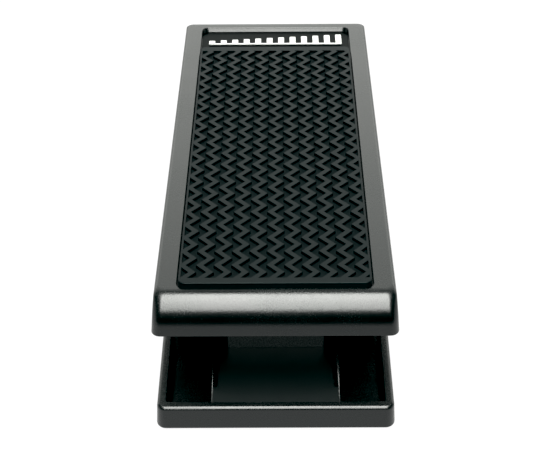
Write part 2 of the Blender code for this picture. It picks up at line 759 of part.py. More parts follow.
def sector_outline():
    """Hub, fan and six teeth, in the treadle's frame."""
    step = 2 * math.pi / SECTOR_TEETH
    middle = PINION_DIRECTION - REST_TILT
    root = MODULE * SECTOR_TEETH / 2 - 1.25
    tip = MODULE * SECTOR_TEETH / 2 + 0.75
    low = middle - 3.5 * step
    high = middle + 2.5 * step
    points = [(root * math.cos(low), root * math.sin(low))]
    for k in range(-3, 3):
        points += tooth(SECTOR_TEETH, middle + step * k, root, tip)
    points.append((root * math.cos(high), root * math.sin(high)))
    points += [(9.0, 4.2), (6.0, SECTOR_FOOT_UNDER + 0.8), (-6.0, SECTOR_FOOT_UNDER + 0.8)]
    points += arc((0, 0), 6.5, 150, 285, 9)
    return points


def make_sector(mats, treadle):
    plate = slab_x(sector_outline(), SECTOR_BACK, SECTOR_FRONT)
    sector = make_object("sector_gear", plate, mats["nylon"], treadle)
    foot = block((-13.0, -6.8, SECTOR_FOOT_UNDER), (9.0, 6.8, SECTOR_FOOT_TOP))
    join(sector, "sector_foot", foot)
    cut(sector, "sector_bore", rod("X", (0, 0, 0), AXLE_RADIUS + GAP, -6, 2, 32))
    holes = [rod("Z", (x, y, 0), SCREW_HOLE, 4, 10, 12) for x, y in SECTOR_SCREWS]
    cut(sector, "sector_foot_holes", merged(*holes))


# ---------------------------------------------------------------- potentiometer


def make_potentiometer(mats, shaft):
    centre = (0, PINION_Y, PINION_Z)
    profile = [(SHAFT_RADIUS + RUNNING_GAP, POT_NECK_END), (POT_NECK_RADIUS, POT_NECK_END)]
    profile += [(POT_NECK_RADIUS, POT_FRONT), (POT_RADIUS, POT_FRONT), (POT_RADIUS, POT_BACK)]
    profile += [(0.4, POT_BACK), (0.4, POT_BACK - 3.5), (SHAFT_RADIUS + RUNNING_GAP, POT_BACK - 3.5)]
    body = turned("X", centre, profile, 36, ring=True)
    make_object("potentiometer_body", body, mats["steel"])
    shaft_end = POT_BACK - 3.5 - GAP
    stem = [(SHAFT_RADIUS - 0.3, -6.5), (SHAFT_RADIUS, -6.2), (SHAFT_RADIUS, shaft_end)]
    make_object("potentiometer_shaft", turned("X", (0, 0, 0), stem, 32), mats["brass"], shaft)
    washer_back = BRACKET_BACK - GAP
    washer = tube("X", centre, POT_NECK_RADIUS + GAP, 6.0, washer_back - 0.6, washer_back, 28)
    make_object("potentiometer_washer", washer, mats["steel"])
    flats = arc((PINION_Y, PINION_Z), 5.7, 0, 300, 5)
    nut = make_object("potentiometer_nut", slab_x(flats, 2.8, 4.8), mats["steel"])
    cut(nut, "nut_bore", rod("X", centre, POT_NECK_RADIUS + GAP, 2, 6, 28))


def make_bracket(mats):
    low = DECK_TOP + GAP
    front = BRACKET_BACK + BRACKET_SHEET
    outline = [(BRACKET_BACK, low), (19.0, low), (19.0, low + BRACKET_SHEET)]
    outline += [(front, low + BRACKET_SHEET), (front, 31.5), (BRACKET_BACK, 31.5)]
    bm = slab_y(outline, PINION_Y - BRACKET_HALF, PINION_Y + BRACKET_HALF)
    bracket = make_object("potentiometer_bracket", bm, mats["steel"])
    centre = (0, PINION_Y, PINION_Z)
    cut(bracket, "bracket_bore", rod("X", centre, POT_NECK_RADIUS + GAP, 5, 9, 28))
    holes = [rod("Z", (x, y, 0), SCREW_HOLE, 8, 12, 12) for x, y in BRACKET_SCREWS]
    cut(bracket, "bracket_holes", merged(*holes))


# ---------------------------------------------------------------- electrics


def make_board(mats):
    low = (-BOARD_HALF, BOARD_HEEL, BOARD_UNDER)
    high = (BOARD_HALF, BOARD_TOE, BOARD_UNDER + BOARD_SHEET)
    board = make_object("circuit_board", block(low, high), mats["board"])
    holes = [rod("Z", (x, y, 0), SCREW_HOLE, 8, 13, 12) for x, y in BOARD_SCREWS]
    cut(board, "board_holes", merged(*holes))


def make_switch(mats, slider_frame):
    top = BOARD_UNDER - GAP
    low = PLATE_TOP + 0.5
    body = block((-5.6, SWITCH_Y - 5.0, low), (5.6, SWITCH_Y + 5.0, top))
    switch = make_object("switch_body", body, mats["black_steel"])
    reach = (SLIDER_LENGTH + SWITCH_TRAVEL) / 2 + GAP
    slot = block((-1.6, SWITCH_Y - reach, low - 1), (1.6, SWITCH_Y + reach, low + 2.6))
    cut(switch, "slider_slot", slot)
    half = SLIDER_LENGTH / 2
    nub = block((-1.3, -half, -1.3), (1.3, half, low + 2.3 - PLATE_TOP))
    make_object("switch_slider", nub, mats["nylon"], slider_frame)


def make_leads(mats):
    """Three short leads from the potentiometer's tail down to the board."""
    radius = 0.6
    start_y = PINION_Y + POT_RADIUS + GAP + radius
    end_z = BOARD_UNDER + BOARD_SHEET + GAP + radius
    for number, (name, x) in enumerate((("red", 9.6), ("white", 11.8), ("black", 14.0))):
        curve = bpy.data.curves.new(f"lead_{name}", "CURVE")
        curve.dimensions = "3D"
        curve.bevel_depth = radius * MM
        curve.bevel_resolution = 1
        curve.use_fill_caps = True
        spline = curve.splines.new("POLY")
        route = lead_route(x, start_y, end_z, BOARD_HEEL + 5.0 + 1.5 * number)
        spline.points.add(len(route) - 1)
        for point, place in zip(spline.points, route):
            point.co = (*(Vector(place) * MM), 1.0)
        obj = bpy.data.objects.new(f"lead_{name}", curve)
        curve.materials.append(mats["case" if name == "black" else name])
        bpy.context.scene.collection.objects.link(obj)


def lead_route(x, start_y, end_z, end_y):
    """Down from the potentiometer's tail in a soft bend, then flat along the board."""
    bend = 3.5
    top = end_z + 9.0
    route = [(x, start_y, top), (x, start_y, end_z + bend + 2.0)]
    corner = arc((start_y + bend, end_z + bend), bend, 180, 270, 5)
    route += [(x, y, z) for y, z in corner]
    route.append((x, end_y, end_z))
    return route


def make_gland(mats):
    """A grommet that grips the toe wall between two flanges."""
    inner_face = POCKET_END - GAP
    outer_face = BASE_END + GAP
    profile = [(GLAND_BORE, inner_face - 1.4), (GLAND_FLANGE, inner_face - 1.4)]
    profile += [(GLAND_FLANGE, inner_face), (GLAND_NECK, inner_face), (GLAND_NECK, outer_face)]
    profile += [(GLAND_FLANGE, outer_face), (GLAND_FLANGE - 0.4, outer_face + 1.0)]
    profile += [(GLAND_BORE, outer_face + 1.0)]
    bm = turned("Y", (0, 0, GLAND_Z), profile, 32, ring=True)
    make_object("cable_gland", bm, mats["rubber"])


def make_stop_pads(mats):
    half = PEDESTAL_LENGTH / 2 - 0.5
    for side, name in ((-1, "heel"), (1, "toe")):
        y = PIVOT_Y + side * STOP_ARM
        side_end = PEDESTAL_HALF - 0.5
        outline = rounded_rectangle(-side_end, side_end, y - half, y + half, 1.0, 2)
        bm = slab_z(outline, STOP_PAD_TOP - STOP_PAD_SHEET, STOP_PAD_TOP)
        make_object(f"stop_pad_{name}", bm, mats["rubber"])


def make_frame(name, place, tilt=0.0):
    """An empty on a moving piece's joint axis."""
    frame = bpy.data.objects.new(name, None)
    frame.location = Vector(place) * MM
    frame.rotation_euler.x = tilt
    bpy.context.scene.collection.objects.link(frame)
    return frame


def main():
    clear_scene()
    mats = make_materials()
    treadle = make_frame("treadle_frame", (0, PIVOT_Y, PIVOT_Z), REST_TILT)
    shaft = make_frame("shaft_frame", (0, PINION_Y, PINION_Z))
    slider_y = SWITCH_Y - SWITCH_TRAVEL / 2
    slider = make_frame("slider_frame", (0, slider_y, PLATE_TOP))
    make_base(mats)
    make_bottom_plate(mats)
    make_feet(mats)
    make_stop_pads(mats)
    make_treadle(mats, treadle)
    make_mat(mats, treadle)
    make_badge(mats, treadle)
    make_axle(mats, treadle)
    make_sector(mats, treadle)
    make_pinion(mats, shaft)
    make_potentiometer(mats, shaft)
    make_bracket(mats)
    make_board(mats)
    make_switch(mats, slider)
    make_leads(mats)
    make_gland(mats)
    make_screws(mats, treadle)
    bpy.context.view_layer.update()


main()
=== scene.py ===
"""The volume pedal's looks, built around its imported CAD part.

Shapes are modelled in millimetres, and settle turns them into metres. Those of the treadle
are modelled in its own frame: X across, Y towards the toe along the tread, the origin on the
rocking axis and Z = 0 at the skirt's lower edge. The others are modelled in the row frame.
"""

import json
import math

import bmesh
import bpy
from mathutils import Matrix, Vector


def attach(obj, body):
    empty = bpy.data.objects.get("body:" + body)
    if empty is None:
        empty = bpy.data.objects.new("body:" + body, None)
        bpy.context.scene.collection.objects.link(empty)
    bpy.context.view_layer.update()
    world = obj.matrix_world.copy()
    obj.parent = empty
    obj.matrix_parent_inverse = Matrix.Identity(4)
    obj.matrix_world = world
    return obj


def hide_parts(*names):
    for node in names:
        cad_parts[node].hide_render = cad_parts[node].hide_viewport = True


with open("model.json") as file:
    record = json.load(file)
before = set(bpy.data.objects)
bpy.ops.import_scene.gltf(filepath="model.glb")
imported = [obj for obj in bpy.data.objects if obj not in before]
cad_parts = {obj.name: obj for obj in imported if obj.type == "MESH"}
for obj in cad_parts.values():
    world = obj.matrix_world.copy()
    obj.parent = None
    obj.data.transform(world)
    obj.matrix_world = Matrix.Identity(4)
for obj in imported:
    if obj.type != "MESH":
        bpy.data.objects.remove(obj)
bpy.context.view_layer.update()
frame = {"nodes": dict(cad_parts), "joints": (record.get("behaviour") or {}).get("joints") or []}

MM = 0.001
JOINTS = {joint["name"]: joint for joint in frame["joints"]}
ROCK_AXIS = Vector(JOINTS["treadle_rock"]["pos_m"]) / MM
REST_TILT = math.radians(-5.3)
LEVEL = Matrix.Scale(MM, 4)
TILTED = LEVEL @ Matrix.Translation(ROCK_AXIS) @ Matrix.Rotation(REST_TILT, 4, "X")


def measure(node, place=LEVEL):
    """The lowest and highest corner of a CAD node in millimetres, in the frame of place."""
    back = place.inverted()
    points = [back @ vertex.co for vertex in frame["nodes"][node].data.vertices]
    return tuple(Vector([pick(p[i] for p in points) for i in range(3)]) for pick in (min, max))


# Treadle. A nose is (length, height): how its end rolls over.
SHELL_LOW, SHELL_HIGH = measure("treadle_shell", TILTED)
TREADLE_HALF = SHELL_HIGH.x
TREADLE_HEEL = SHELL_LOW.y
TREADLE_TOE = SHELL_HIGH.y
TREADLE_HEIGHT = SHELL_HIGH.z
TREADLE_WALL = 2.5
TREADLE_CORNER = 3.5
SIDE_DRAFT = 1.4
SIDE_FILLET = 1.6
LIP_RADIUS = 0.5
HEEL_NOSE = (9.9, 11.2)
TOE_NOSE = (5.0, 5.0)
ROOF_UNDER = 10.6
RIB_UNDER = 8.7
RIB_HALF = 0.9
STOP_RIB_HALF = (15.0, 1.5)
STOP_RIB_UNDER = 4.0
LUG_INNER = 27.5
LUG_OUTER = 31.5
LUG_RADIUS = 8.0
LUG_FOOT = 11.0
BUSH_RADIUS = 4.0
POST_RADIUS = 3.5
POST_UNDER = 8.3

# Mat and badge
MAT_LOW, MAT_HIGH = measure("tread_mat", TILTED)
PANEL_LOW, PANEL_HIGH = measure("badge_panel", TILTED)
MARK_LOW, MARK_HIGH = measure("badge_mark", TILTED)
GAP = 0.3  # between pieces that touch
RECESS_HALF = MAT_HIGH.x + GAP
RECESS_HEEL = MAT_LOW.y - GAP
BADGE_CLEARANCE = 3.3
RECESS_TOE = PANEL_HIGH.y + BADGE_CLEARANCE
RECESS_FLOOR = MAT_LOW.z - GAP
RECESS_CORNER = 3.4
RECESS_EDGE = 0.45
RECESS_SLOPE = (0.92, 1.9)  # run and drop of the toe wall's chamfer
PANEL_EDGE = 0.15
MARK_EDGE = 0.12
MAT_DRAFT = 0.3
MAT_ROUND = 0.35
GROOVE_DEPTH = 1.5
GROOVE_COUNT = 12
GROOVE_PITCH = 6.95
GROOVE_WIDTH = 3.9
GROOVE_FLARE = 0.16
ZIGZAG_SWING = 4.2
ZIGZAG_PERIOD = 9.09
FIRST_BEND = 0.4 * ZIGZAG_PERIOD
FIRST_GROOVE = -1.12
SIDE_BORDER = 0.5
HEEL_BORDER = 3.1
TOE_BORDER = 4.0
BARS = 12
BAR_SHARE = 0.5
BAR_FOOT = 0.9
SHORTEST_BAR = 3.6

# Base
BASE_LOW, BASE_HIGH = measure("base_casing")
BASE_HALF = BASE_HIGH.x
BASE_END = BASE_HIGH.y
BASE_BOTTOM = BASE_LOW.z
BASE_RIM = BASE_BOTTOM + 11.3
BASE_WALL = 4.3
BASE_CORNER = 4.0
BASE_DRAFT = 0.8
RIM_RADIUS = 1.3
FLOOR_TOP = 4.0
DECK_TOP = 9.2
DECK_UNDER = 7.4
HOUSING_HALF = 25.9
TROUGH_HALF = 23.7
CHEEK_INNER = 41.8
CHEEK_OUTER = 43.8
TROUGH_HEEL = -104.0
TROUGH_TOE = 114.0
INSIDE_END = BASE_END - BASE_WALL
GLAND_WALL = 2.5
GLAND_RADIUS = 4.1
POCKET_END = BASE_END - GLAND_WALL
POCKET_HALF = 8.0
AXLE_RADIUS = 2.5
BOSS_RADIUS = 3.2
PLATE_TOP = measure("bottom_plate")[1].z
SCREW_HOLE = 1.5
FOOT_RADIUS = 7.0
FOOT_RECESS = 1.0
PEDESTAL_RIM = 0.5
PEDESTAL_HALF = measure("stop_pad_heel")[1].x + PEDESTAL_RIM
SWITCH_WINDOW_HALF = (6.2, 5.6)
SOFT_EDGE = 0.3  # rounding of moulded edges
WALL_EDGE = 0.15
CHEEK_EDGE = 0.4


def middle(node, place=LEVEL):
    """The centre of a CAD node's box in millimetres, in the frame of place."""
    low, high = measure(node, place)
    return (low + high) / 2


PLATE_SCREWS = [middle(f"plate_screw_{number}").xy for number in range(1, 7)]
BOARD_SCREWS = [middle(f"board_screw_{number}").xy for number in (1, 2)]
BRACKET_SCREWS = [middle(f"bracket_screw_{number}").xy for number in (1, 2)]
SECTOR_SCREWS = [middle(f"sector_screw_{number}", TILTED).xy for number in (1, 2)]
FEET = [middle(f"rubber_foot_{number}").xy for number in range(1, 5)]
SWITCH_Y = middle("switch_body").y
GLAND_Z = middle("cable_gland").z


# ---------------------------------------------------------------- shapes


def loft(loops):
    """Joins equal loops of points with quads, and caps both ends."""
    bm = bmesh.new()
    rows = [[bm.verts.new(point) for point in loop] for loop in loops]
    count = len(rows[0])
    for lower, upper in zip(rows, rows[1:]):
        for i in range(count):
            j = (i + 1) % count
            bm.faces.new((lower[i], lower[j], upper[j], upper[i]))
    bm.faces.new(rows[0])
    bm.faces.new(rows[-1])
    return tidy(bm)


def tidy(bm):
    """Welds points that coincide, and turns all the faces outwards."""
    bmesh.ops.remove_doubles(bm, verts=bm.verts, dist=1e-5)
    bmesh.ops.recalc_face_normals(bm, faces=bm.faces)
    return bm


def soften(bm, radius=SOFT_EDGE):
    """Rounds every sharp edge of a simple solid."""
    sharp = [edge for edge in bm.edges if edge.calc_face_angle(0) > math.radians(25)]
    bmesh.ops.bevel(bm, geom=sharp, offset=radius, segments=2, affect="EDGES", clamp_overlap=True)
    return tidy(bm)


def merged(*parts):
    """One bmesh that holds several separate bodies."""
    whole = bmesh.new()
    for part in parts:
        mesh = bpy.data.meshes.new("part")
        part.to_mesh(mesh)
        part.free()
        whole.from_mesh(mesh)
        bpy.data.meshes.remove(mesh)
    return whole


def block(low, high):
    """A box between two opposite corners."""
    (x0, y0, z0), (x1, y1, z1) = low, high
    corners = [(x0, y0), (x1, y0), (x1, y1), (x0, y1)]
    return loft([[(x, y, z) for x, y in corners] for z in (z0, z1)])


def slab_x(outline, x0, x1):
    """An outline of (y, z) points, extruded from x0 to x1."""
    return loft([[(x, y, z) for y, z in outline] for x in (x0, x1)])


def arc(centre, radius, start, end, steps):
    """Points along a circular arc, with its angles in degrees."""
    angles = [math.radians(start + (end - start) * i / steps) for i in range(steps + 1)]
    return [(centre[0] + radius * math.cos(a), centre[1] + radius * math.sin(a)) for a in angles]


def rounded_rectangle(x0, x1, y0, y1, radius, z):
    """A loop of points at height z round a rectangle with rounded corners."""
    corners = [(x1, y1, 0), (x0, y1, 90), (x0, y0, 180), (x1, y0, 270)]
    points = []
    for x, y, start in corners:
        centre_x = x - math.copysign(radius, x - (x0 + x1) / 2)
        centre_y = y - math.copysign(radius, y - (y0 + y1) / 2)
        points += arc((centre_x, centre_y), radius, start, start + 90, 10)
    return [(x, y, z) for x, y in points]


def rod(axis, centre, radius, start, end, sides=48):
    """A round bar along X, Y or Z, from start to end as measured from its centre."""
    loops = []
    for along in (start, end):
        loop = []
        for i in range(sides):
            angle = 2 * math.pi * (i + 0.5) / sides
            u, v = radius * math.cos(angle), radius * math.sin(angle)
            point = {"X": (along, u, v), "Y": (u, along, v), "Z": (u, v, along)}[axis]
            loop.append(Vector(point) + Vector(centre))
        loops.append(loop)
    return loft(loops)


# ---------------------------------------------------------------- pieces


def solid(name, bm):
    """A plain object in millimetres, whose Booleans are still to be applied."""
    mesh = bpy.data.meshes.new(name)
    bm.to_mesh(mesh)
    bm.free()
    obj = bpy.data.objects.new(name, mesh)
    bpy.context.scene.collection.objects.link(obj)
    return obj


def combine(target, operation, name, bm):
    """Applies one Boolean to the target's mesh."""
    helper = solid(name, bm)
    boolean = target.modifiers.new(name, "BOOLEAN")
    boolean.operation = operation
    boolean.object = helper
    bpy.context.view_layer.update()
    evaluated = target.evaluated_get(bpy.context.evaluated_depsgraph_get())
    mesh = bpy.data.meshes.new_from_object(evaluated)
    target.modifiers.clear()
    target.data = mesh
    bpy.data.objects.remove(helper)


def join(target, name, bm):
    """Adds a body to the target."""
    combine(target, "UNION", name, bm)


def cut(target, name, bm):
    """Takes a body away from the target."""
    combine(target, "DIFFERENCE", name, bm)


def settle(obj, place, body, material, nodes):
    """Puts a finished piece in its place, on its body, in the stead of its CAD nodes."""
    obj.data.transform(place)
    obj.data.materials.clear()
    obj.data.materials.append(material)
    obj.data.shade_smooth()
    obj.data.set_sharp_from_angle(angle=math.radians(32))
    weighted = obj.modifiers.new("even_shading", "WEIGHTED_NORMAL")
    weighted.keep_sharp = True
    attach(obj, body)
    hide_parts(*nodes)


# ---------------------------------------------------------------- treadle


def nose_inset(z, nose, wall=0.0):
    """How far in an end has rolled at height z. A wall gives the hollow's inset instead."""
    length, height = nose[0] - wall, nose[1] - wall
    rise = min(max(z - TREADLE_HEIGHT + nose[1], 0.0), height)
    return wall + length - length * math.sqrt(1.0 - (rise / height) ** 2)


def fillet_inset(z):
    """How far in a side has rolled at height z, along its upper edge."""
    rise = min(max(z - (TREADLE_HEIGHT - SIDE_FILLET), 0.0), SIDE_FILLET)
    return SIDE_FILLET - math.sqrt(SIDE_FILLET**2 - rise**2)


def treadle_outline(z, wall=0.0, lip=0.0):
    """The treadle's outline at height z, or its hollow's where wall is given."""
    side = wall + lip + SIDE_DRAFT * z / TREADLE_HEIGHT
    if not wall:
        side += fillet_inset(z)
    half = TREADLE_HALF - side
    heel = TREADLE_HEEL + lip + nose_inset(z, HEEL_NOSE, wall)
    toe = TREADLE_TOE - lip - nose_inset(z, TOE_NOSE, wall)
    radius = max(TREADLE_CORNER - wall, 1.2)
    return rounded_rectangle(-half, half, heel, toe, radius, z)


def recess_outline(z, out=0.0, lean=0.0):
    """The recess's outline at height z. Its toe wall leans in by lean."""
    half = RECESS_HALF + out
    toe = RECESS_TOE + out - lean
    return rounded_rectangle(-half, half, RECESS_HEEL - out, toe, RECESS_CORNER + out, z)


def treadle_skin():
    """One loft from the roof's underside, round the lip and over the noses, to the recess."""
    nose_start = TREADLE_HEIGHT - HEEL_NOSE[1]
    hollow = [ROOF_UNDER, 10.2, 9.6, 8.9, 8.1, 7.2, 6.3, nose_start, 0.0]
    loops = [treadle_outline(z, wall=TREADLE_WALL) for z in hollow]
    for x, z in arc((LIP_RADIUS, LIP_RADIUS), LIP_RADIUS, 270, 180, 4):
        loops.append(treadle_outline(z, lip=x))
    steps = 20
    for i in range(steps + 1):
        z = nose_start + HEEL_NOSE[1] * math.sin(math.pi / 2 * i / steps)
        loops.append(treadle_outline(min(z, TREADLE_HEIGHT)))
    for out, rise in arc((RECESS_EDGE, -RECESS_EDGE), RECESS_EDGE, 90, 180, 4):
        loops.append(recess_outline(TREADLE_HEIGHT + rise, out))
    run, drop = RECESS_SLOPE
    for z in (TREADLE_HEIGHT - drop, RECESS_FLOOR):
        loops.append(recess_outline(z, lean=run))
    return loft(loops)


def lug(x0, x1):
    """A plate that hangs from the roof and holds a bush."""
    sunk = ROOF_UNDER + 1.0
    round_end = arc((0, 0), LUG_RADIUS, 190, 350, 32)
    return slab_x([(-LUG_FOOT, sunk)] + round_end + [(LUG_FOOT, sunk)], x0, x1)


def cross_ribs():
    """Ribs from side to side under the roof, sunk into it."""
    half = TREADLE_HALF - TREADLE_WALL - 0.4
    top = ROOF_UNDER + 1.2
    ribs = []
    for y in (-62.0, -34.0, 34.0, 62.0):
        ribs.append(block((-half, y - RIB_HALF, RIB_UNDER), (half, y + RIB_HALF, top)))
    return ribs


def stop_ribs():
    """The two deeper ribs that land on the stop pads."""
    half, thick = STOP_RIB_HALF
    top = ROOF_UNDER + 1.2
    ribs = []
    for node, side in (("stop_pad_heel", -1), ("stop_pad_toe", 1)):
        y = side * abs(middle(node).y - ROCK_AXIS.y)
        ribs.append(soften(block((-half, y - thick, STOP_RIB_UNDER), (half, y + thick, top))))
    return ribs


def long_ribs():
    """Ribs from end to end under the roof, a little less deep than the cross ribs."""
    ends = TREADLE_TOE - TREADLE_WALL - 1.0
    low, top = RIB_UNDER + 0.3, ROOF_UNDER + 1.4
    ribs = []
    for x in (-36.5, -20.0, 20.0, 36.5):
        ribs.append(block((x - RIB_HALF, -ends, low), (x + RIB_HALF, ends, top)))
    return ribs


def sector_posts():
    """The posts that the sector gear is screwed to."""
    top = ROOF_UNDER + 1.0
    return merged(*(rod("Z", (x, y, 0), POST_RADIUS, POST_UNDER, top) for x, y in SECTOR_SCREWS))


def post_holes():
    """Blind holes up into the posts."""
    top = RECESS_FLOOR - 0.7
    return merged(*(rod("Z", (x, y, 0), SCREW_HOLE, 7, top, 24) for x, y in SECTOR_SCREWS))


def make_treadle(materials):
    """The long hollow cover, with its ribs, lugs and posts inside."""
    cover = solid("treadle_cover", treadle_skin())
    join(cover, "cross_ribs", merged(*cross_ribs(), *stop_ribs()))
    join(cover, "long_ribs", merged(*long_ribs()))
    join(cover, "lugs", merged(lug(LUG_INNER, LUG_OUTER), lug(-LUG_OUTER, -LUG_INNER)))
    join(cover, "posts", sector_posts())
    cut(cover, "lug_holes", rod("X", (0, 0, 0), BUSH_RADIUS + GAP, -33, 33))
    cut(cover, "post_holes", post_holes())
    settle(cover, TILTED, "treadle", materials["case"], ["treadle_shell"])


# ---------------------------------------------------------------- mat and badge


def mat_outline(inset, z):
    """The mat's outline at height z, this far inside the recess's walls."""
    half = RECESS_HALF - inset
    heel, toe = RECESS_HEEL + inset, MAT_HIGH.y + GAP - inset
    return rounded_rectangle(-half, half, heel, toe, RECESS_CORNER - inset, z)


def zigzag_groove(centre_x, start, bends):
    """A channel along Y that bends at each half period, with its mouth flared."""
    top = MAT_HIGH.z
    half = GROOVE_WIDTH / 2
    mouth = half + GROOVE_FLARE
    section = [(half - 0.1, top - GROOVE_DEPTH), (half, top - 0.24)]
    section += [(half + 0.05, top - 0.09), (mouth, top + 0.01), (mouth, top + 1)]
    outline = section + [(-x, z) for x, z in reversed(section)]
    loops = []
    for i in range(bends):
        x = centre_x + ZIGZAG_SWING * (0.5 if i % 2 else -0.5)
        y = start + ZIGZAG_PERIOD / 2 * (i - 1)
        loops.append([(x + u, y, z) for u, z in outline])
    return loft(loops)


def make_mat(materials):
    """A rubber pad with zigzag grooves inside a plain border, all its rims rounded."""
    base, top = MAT_LOW.z, MAT_HIGH.z
    inset = GAP + MAT_DRAFT
    loops = [mat_outline(GAP, base)]
    for x, z in arc((MAT_ROUND, -MAT_ROUND), MAT_ROUND, 180, 90, 4):
        loops.append(mat_outline(inset + x, top + z))
    mat = solid("tread_rubber", loft(loops))
    top_inset = inset + MAT_DRAFT
    half = RECESS_HALF - top_inset - SIDE_BORDER
    heel = RECESS_HEEL + top_inset + HEEL_BORDER
    toe = MAT_HIGH.y + GAP - top_inset - TOE_BORDER
    bends = round((toe - heel) / (ZIGZAG_PERIOD / 2)) + 4
    grooves = [
        zigzag_groove(FIRST_GROOVE - half + GROOVE_PITCH * i, heel + FIRST_BEND, bends)
        for i in range(GROOVE_COUNT)
    ]
    pattern = solid("grooves", merged(*grooves))
    field = block((-half, heel, base), (half, toe, top + 3))
    combine(pattern, "INTERSECT", "groove_field", field)
    bm = bmesh.new()
    bm.from_mesh(pattern.data)
    bpy.data.objects.remove(pattern)
    cut(mat, "pattern", bm)
    settle(mat, TILTED, "treadle", materials["mat"], ["tread_mat"])


def ramp_of_bars():
    """The mark's outline: bars on a thin foot, each taller than the one on its left."""
    left, right, heel = MARK_LOW.x, MARK_HIGH.x, MARK_LOW.y
    pitch = (right - left) / (BARS - 1 + BAR_SHARE)
    tallest = MARK_HIGH.y - heel
    uprights = []
    for i in range(BARS):
        x0 = left + pitch * i
        x1 = x0 + pitch * BAR_SHARE
        top = heel + SHORTEST_BAR + (tallest - SHORTEST_BAR) * i / (BARS - 1)
        uprights += [(x0, heel + BAR_FOOT), (x0, top), (x1, top), (x1, heel + BAR_FOOT)]
    return [(right, heel), (left, heel)] + uprights[1:-1]


def make_badge(materials):
    """A smooth panel at the toe, with a plain ramp of bars that rises from left to right."""
    loops = []
    levels = [(0.0, PANEL_LOW.z), (0.0, PANEL_HIGH.z - PANEL_EDGE), (PANEL_EDGE, PANEL_HIGH.z)]
    for inset, z in levels:
        half = PANEL_HIGH.x - inset
        heel, toe = PANEL_LOW.y + inset, PANEL_HIGH.y - inset
        loops.append(rounded_rectangle(-half, half, heel, toe, RECESS_CORNER - GAP - inset, z))
    panel = solid("badge_plate", loft(loops))
    settle(panel, TILTED, "treadle", materials["panel"], ["badge_panel"])
    ramp = ramp_of_bars()
    mark = loft([[(x, y, z) for x, y in ramp] for z in (MARK_LOW.z, MARK_HIGH.z)])
    mark = solid("badge_bars", soften(mark, MARK_EDGE))
    settle(mark, TILTED, "treadle", materials["mark"], ["badge_mark"])


# ---------------------------------------------------------------- base


def base_outline(inset, z, drafted=True):
    """The tray's outline at height z. Its outer faces lean in towards the rim."""
    if drafted:
        inset += BASE_DRAFT * (z - BASE_BOTTOM) / (BASE_RIM - BASE_BOTTOM)
    half = BASE_HALF - inset
    end = BASE_END - inset
    return rounded_rectangle(-half, half, -end, end, max(BASE_CORNER - inset, 1.0), z)


def tray():
    """The floor and the outer wall, whose upper edge is rounded outwards."""
    edge = 0.6
    inner = SOFT_EDGE
    loops = []
    for inset, rise in arc((edge, edge), edge, 270, 180, 3):
        loops.append(base_outline(inset, BASE_BOTTOM + rise))
    for inset, rise in arc((RIM_RADIUS, -RIM_RADIUS), RIM_RADIUS, 180, 90, 8):
        loops.append(base_outline(inset, BASE_RIM + rise))
    for rise, inset in arc((-inner, BASE_WALL - inner), inner, 0, 90, 3):
        loops.append(base_outline(inset, BASE_RIM + rise, drafted=False))
    loops.append(base_outline(BASE_WALL + 0.1, FLOOR_TOP, drafted=False))
    return loft(loops)


def housing_walls():
    """Two long walls that carry the axle, with sloping ends."""
    sunk = DECK_TOP - 1.2
    crown = 35.5
    profile = [(-120.0, sunk), (-95.0, 22.5), (-12.0, crown), (12.0, crown)]
    profile += [(95.0, 22.5), (114.0, 11.5), (114.0, sunk)]
    outline = [(ROCK_AXIS.y + along, z) for along, z in profile]
    sides = ((TROUGH_HALF, HOUSING_HALF), (-HOUSING_HALF, -TROUGH_HALF))
    return merged(*(soften(slab_x(outline, x0, x1), WALL_EDGE) for x0, x1 in sides))


def cheeks():
    """Side gussets that close the gap under the treadle's skirt."""
    half = [(12.0, 33.0), (76.0, 22.5), (85.0, 11.0), (85.0, FLOOR_TOP - 1.0)]
    profile = [(-along, z) for along, z in reversed(half)] + half
    outline = [(ROCK_AXIS.y + along, z) for along, z in profile]
    sides = ((CHEEK_INNER, CHEEK_OUTER), (-CHEEK_OUTER, -CHEEK_INNER))
    return merged(*(soften(slab_x(outline, x0, x1), CHEEK_EDGE) for x0, x1 in sides))


def pedestals():
    """The two blocks that the stop pads stand on."""
    blocks = []
    for node in ("stop_pad_heel", "stop_pad_toe"):
        low, high = measure(node)
        rim = PEDESTAL_RIM
        corner = (low.x - rim, low.y - rim, DECK_TOP - 0.8)
        blocks.append(soften(block(corner, (high.x + rim, high.y + rim, low.z - GAP))))
    return merged(*blocks)


def screw_holes():
    """Blind holes: up into the bosses for the plate, down through the deck for the rest."""
    top = DECK_UNDER + 0.6
    holes = [rod("Z", (x, y, 0), SCREW_HOLE, 3.0, top, 24) for x, y in PLATE_SCREWS]
    for x, y in BOARD_SCREWS + BRACKET_SCREWS:
        holes.append(rod("Z", (x, y, 0), SCREW_HOLE, PLATE_TOP + 1.6, DECK_TOP + 1, 24))
    return merged(*holes)


def bosses():
    """The posts under the deck that the screws go into."""
    low, high = PLATE_TOP + GAP, DECK_UNDER + 0.9
    places = PLATE_SCREWS + BOARD_SCREWS + BRACKET_SCREWS
    return merged(*(rod("Z", (x, y, 0), BOSS_RADIUS, low, high, 32) for x, y in places))


def foot_recesses():
    """Shallow round seats for the rubber feet."""
    top = BASE_BOTTOM + FOOT_RECESS
    return merged(*(rod("Z", (x, y, 0), FOOT_RADIUS + GAP, 0.5, top) for x, y in FEET))


def switch_window():
    """The opening in the deck that the polarity switch sits in."""
    half_x, half_y = SWITCH_WINDOW_HALF
    low = (-half_x, SWITCH_Y - half_y, 6.0)
    return block(low, (half_x, SWITCH_Y + half_y, DECK_TOP + 1))


